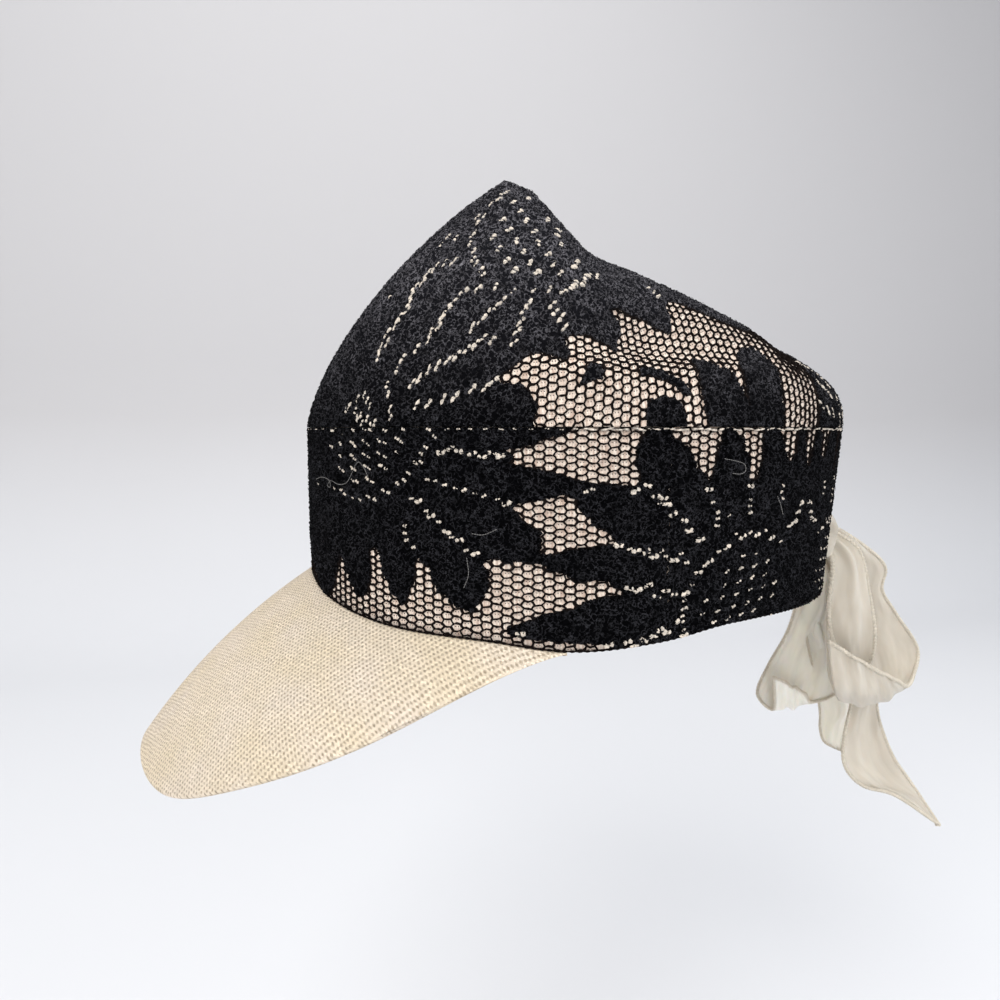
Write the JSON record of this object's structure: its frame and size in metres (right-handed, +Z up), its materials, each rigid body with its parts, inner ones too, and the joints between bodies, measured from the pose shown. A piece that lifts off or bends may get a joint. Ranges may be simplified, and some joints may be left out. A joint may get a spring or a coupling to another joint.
{
  "type": "sun visor hat",
  "caption": "Soft pointed crown and deep band in black flower lace over cream cloth, long cream peak, ivory chiffon bow at the back.",
  "frame": {"origin": "middle of the head opening at the level of the side rim, where a head sits", "axes": "+Z up, -Y towards the peak, +X towards the wearer's left"},
  "size_m": [0.17, 0.3465, 0.2759],
  "materials": {
    "black_lace": "matt knitted boucle lace",
    "ground_cloth": "plain pinkish cream cloth",
    "peak_cloth": "coarse woven cream cloth, matt",
    "chiffon": "thin ivory chiffon, half see-through, soft sheen"
  },
  "bodies": {
    "root": {"crown_lace": "black_lace", "crown_lining": "ground_cloth", "band_lace": "black_lace", "band_lining": "ground_cloth", "peak": "peak_cloth", "scarf_knot": "chiffon", "scarf_loop_left": "chiffon", "scarf_inner_fold": "chiffon", "scarf_loop_right": "chiffon", "scarf_tail_short": "chiffon", "scarf_tail_long": "chiffon"}
  },
  "joints": []
}
